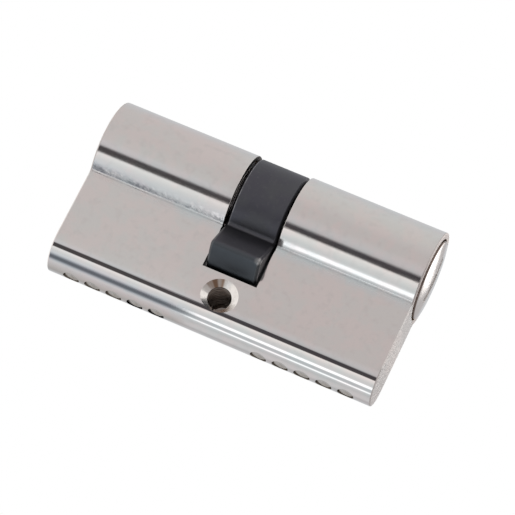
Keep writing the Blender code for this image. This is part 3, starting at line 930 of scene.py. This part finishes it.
def make_clutch():
    low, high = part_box("clutch_dog")
    pin_low, pin_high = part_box("clutch_pin")
    middle = (low + high) / 2
    pin_radius = (pin_high.z - pin_low.z) / 2
    dog = add("clutch_slider", block("clutch_dog", tuple(high - low), (0, 0, 0)), [STEEL], middle)
    length = high.x - low.x
    hole_radius = pin_radius + CLEARANCE
    hole = [(-length, 0), (-length, hole_radius), (length, hole_radius), (length, 0)]
    carve(dog, [(moved(turned("hole", hole, 48), along_x()), STEEL)])
    shade(dog)
    ease(dog, 0.2 * MM, steps=3)
    stand_in(dog, "clutch_dog")

    half = (pin_high.x - pin_low.x) / 2
    outline = rounded([
        (-half, 0, 0),
        (-half, pin_radius, 0.4 * MM),
        (half, pin_radius, 0.4 * MM),
        (half, 0, 0),
    ], 6)
    pin = add("clutch_push_pin", moved(turned("clutch_pin", outline, 48), along_x()), [SPRING_STEEL], middle)
    shade(pin)
    stand_in(pin, "clutch_pin")


# ---------------------------------------------------------------- pins and springs

def make_key_pin(name):
    low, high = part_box(name)
    radius = (high.x - low.x) / 2
    length = high.z - low.z
    outline = rounded([
        (0, 0, 0),
        (0, radius, 0.25 * MM),
        (length - radius + KEY_PIN_TIP, radius, 0.2 * MM),
        (length, KEY_PIN_TIP, 0.25 * MM),
        (length, 0, 0),
    ], 5)
    middle = (low + high) / 2
    pin = add(name + "_turned", turned(name, outline, 48), [PIN_BRASS], (middle.x, middle.y, low.z))
    shade(pin)
    stand_in(pin, name)


def make_driver(name):
    """A blunt pin with a waist, as pick-resistant drivers have."""
    low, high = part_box(name)
    radius = (high.x - low.x) / 2
    length = high.z - low.z
    waist = radius * WAIST
    outline = rounded([
        (0, 0, 0),
        (0, radius, 0.2 * MM),
        (length * 0.52, radius, 0.1 * MM),
        (length * 0.58, waist, 0.1 * MM),
        (length * 0.78, waist, 0.1 * MM),
        (length * 0.84, radius, 0.1 * MM),
        (length, radius, 0.2 * MM),
        (length, 0, 0),
    ], 4)
    middle = (low + high) / 2
    pin = add(name + "_turned", turned(name, outline, 48), [STEEL], (middle.x, middle.y, low.z))
    shade(pin)
    stand_in(pin, name)


def make_spring(name):
    """Fine wire with closed ends, between a driver pin and its chamber plug."""
    low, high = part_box(name)
    middle = (low + high) / 2
    radius = (high.x - low.x) / 2 - SPRING_WIRE
    tall = high.z - low.z - 2 * SPRING_WIRE
    per_turn = 28
    steps = SPRING_TURNS * per_turn
    path = []
    for step in range(steps + 1):
        share = step / steps
        eased = share - 0.085 * math.sin(2 * math.pi * share)
        angle = 2 * math.pi * step / per_turn
        height = SPRING_WIRE + tall * eased
        path.append(Vector((radius * math.cos(angle), radius * math.sin(angle), height)))
    mesh = swept(name, path, SPRING_WIRE, 10)
    coil = add(name + "_coil", mesh, [SPRING_STEEL], (middle.x, middle.y, low.z))
    shade(coil, math.radians(60))
    stand_in(coil, name)
    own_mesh(coil)


def make_pins():
    for name in sorted(frame["nodes"]):
        if name.startswith("key_pin_"):
            make_key_pin(name)
        elif name.startswith("driver_pin_"):
            make_driver(name)
        elif name.startswith("spring_"):
            make_spring(name)


# ---------------------------------------------------------------- camera, floor and light

def make_camera():
    back = Vector((
        math.sin(VIEW_AZIMUTH) * math.cos(VIEW_ELEVATION),
        -math.cos(VIEW_AZIMUTH) * math.cos(VIEW_ELEVATION),
        math.sin(VIEW_ELEVATION),
    ))
    level = Vector((math.cos(VIEW_AZIMUTH), math.sin(VIEW_AZIMUTH), 0))
    upright = back.cross(level)
    across = level * math.cos(VIEW_ROLL) + upright * math.sin(VIEW_ROLL)
    up = upright * math.cos(VIEW_ROLL) - level * math.sin(VIEW_ROLL)
    place = AXIS + back * VIEW_DISTANCE + across * VIEW_ACROSS + up * VIEW_UP
    camera = bpy.data.objects.new("camera", bpy.data.cameras.new("camera"))
    bpy.context.scene.collection.objects.link(camera)
    turn = Matrix((across, up, back)).transposed().to_4x4()
    camera.matrix_world = Matrix.Translation(place) @ turn
    camera.data.lens = VIEW_LENS
    camera.data.clip_start = 10 * MM
    bpy.context.scene.camera = camera


def make_floor():
    material, tree, shader = new_material("pale_floor")
    place = object_place(tree)
    tint = noise(tree, place, 3, 2.0)
    colour = blend_colours(tree, tint, (0.90, 0.90, 0.90), (0.93, 0.93, 0.93))
    tree.links.new(colour, shader.inputs["Base Color"])
    shader.inputs["Roughness"].default_value = 0.8
    shader.inputs["Emission Color"].default_value = (1, 1, 1, 1)
    shader.inputs["Emission Strength"].default_value = 0.35
    bm = bmesh.new()
    bmesh.ops.create_circle(bm, cap_ends=True, segments=64, radius=FLOOR_RADIUS)
    floor = add("floor", finished("floor", bm), [material], (0, 0, FLOOR_HEIGHT))
    floor.visible_glossy = False


# What the nickel mirrors, by the angle in degrees round the cylinder's axis: 0 is level towards the viewer,
# 90 straight down and -90 straight up. The body's left half mirrors the first list, its right half the
# second.
LEFT_TENT = (
    (-180, (0.62, 0.63, 0.65)),
    (-126, (0.65, 0.66, 0.68)),
    (-94, (0.69, 0.65, 0.65)),
    (-29, (0.67, 0.64, 0.64)),
    (3, (0.68, 0.67, 0.67)),
    (12, (0.71, 0.71, 0.73)),
    (20.5, (0.69, 0.70, 0.73)),
    (24.5, (0.075, 0.070, 0.075)),
    (37, (0.085, 0.080, 0.083)),
    (39.5, (1.02, 1.02, 1.03)),
    (45, (0.93, 0.94, 0.95)),
    (52, (0.82, 0.84, 0.86)),
    (61, (0.77, 0.81, 0.86)),
    (66, (0.60, 0.64, 0.70)),
    (71, (0.31, 0.34, 0.39)),
    (76, (0.15, 0.17, 0.20)),
    (84, (0.16, 0.18, 0.21)),
    (89, (0.34, 0.38, 0.43)),
    (94, (0.60, 0.64, 0.69)),
    (101, (0.73, 0.74, 0.77)),
    (114, (0.67, 0.65, 0.67)),
    (128, (0.60, 0.58, 0.58)),
    (150, (0.48, 0.47, 0.47)),
    (180, (0.62, 0.63, 0.65)),
)
RIGHT_TENT = (
    (-180, (0.62, 0.63, 0.65)),
    (-126, (0.66, 0.68, 0.70)),
    (-94, (0.72, 0.72, 0.72)),
    (-60, (0.71, 0.69, 0.68)),
    (-40, (0.68, 0.64, 0.64)),
    (-25, (0.64, 0.60, 0.60)),
    (-8, (0.64, 0.60, 0.60)),
    (3, (0.67, 0.64, 0.65)),
    (12, (0.66, 0.65, 0.67)),
    (19.0, (0.60, 0.60, 0.62)),
    (24.0, (0.065, 0.060, 0.068)),
    (35.5, (0.080, 0.075, 0.080)),
    (38, (1.05, 1.03, 1.02)),
    (44, (0.93, 0.93, 0.93)),
    (52, (0.80, 0.83, 0.84)),
    (60, (0.74, 0.78, 0.80)),
    (64.5, (0.82, 0.86, 0.88)),
    (67.0, (1.45, 1.52, 1.58)),
    (74.0, (1.45, 1.52, 1.58)),
    (77.5, (0.62, 0.67, 0.70)),
    (85, (0.60, 0.65, 0.69)),
    (89.5, (0.72, 0.76, 0.79)),
    (92.0, (1.42, 1.48, 1.53)),
    (95, (1.42, 1.48, 1.53)),
    (98, (0.74, 0.78, 0.81)),
    (107, (0.63, 0.66, 0.68)),
    (121, (0.71, 0.72, 0.74)),
    (135, (0.72, 0.73, 0.75)),
    (150, (0.54, 0.54, 0.56)),
    (180, (0.62, 0.63, 0.65)),
)


def make_world():
    """A light tent with dark gaps below the front and bright end panels; the camera sees plain white."""
    world = bpy.data.worlds.new("light_tent")
    world.use_nodes = True
    bpy.context.scene.world = world
    tree = world.node_tree
    tree.nodes.clear()
    direction = node(tree, "TexCoord").outputs["Generated"]
    parts = node(tree, "SeparateXYZ", {0: direction})
    x = parts.outputs[0]
    forward = product(tree, parts.outputs[1], -1.0)
    down = product(tree, parts.outputs[2], -1.0)
    turn = math_node(tree, "ARCTAN2", down, forward)
    share = math_node(tree, "MULTIPLY_ADD", turn, 1 / (2 * math.pi))
    share.node.inputs[2].default_value = 0.5

    def band(stops):
        return ramp(tree, share, [((angle + 180) / 360, colour) for angle, colour in stops])

    right_half = spread(tree, x, -0.2105, -0.2070, 0.0, 1.0)
    look = blend_colours(tree, right_half, band(LEFT_TENT), band(RIGHT_TENT))
    behind_right = spread(tree, x, 0.02, 0.16, 0.0, 1.0)
    look = blend_colours(tree, behind_right, look, (0.52, 0.50, 0.50))
    right_panel = product(
        tree, spread(tree, x, 0.25, 0.31, 0.0, 1.0), spread(tree, down, -0.30, -0.325, 0.0, 1.0)
    )
    behind = product(
        tree, spread(tree, x, 0.50, 0.58, 1.0, 0.0), spread(tree, forward, -0.45, -0.65, 0.0, 1.0)
    )
    panel = blend_colours(tree, behind, (1.08, 1.06, 1.05), (2.05, 1.99, 1.94))
    look = blend_colours(tree, right_panel, look, panel)
    left_end = spread(tree, x, -0.42, -0.60, 0.0, 1.0)
    look = blend_colours(tree, left_end, look, (1.08, 1.06, 1.05))
    lit = node(tree, "Background", {"Color": look})
    plain = node(tree, "Background", {"Color": (1, 1, 1, 1)})
    seen = node(tree, "LightPath").outputs["Is Camera Ray"]
    mixed = node(tree, "MixShader", {0: seen, 1: lit.outputs[0], 2: plain.outputs[0]})
    output = tree.nodes.new("ShaderNodeOutputWorld")
    tree.links.new(mixed.outputs[0], output.inputs["Surface"])


make_camera()
make_floor()
make_world()
make_housing()
make_screw_thread()
make_chamber_plugs()
make_cam()
make_clutch()
for plug_side in (RIGHT, LEFT):
    make_plug(plug_side)
    make_circlip(plug_side)
make_pins()
bpy.context.scene.view_settings.view_transform = "Standard"
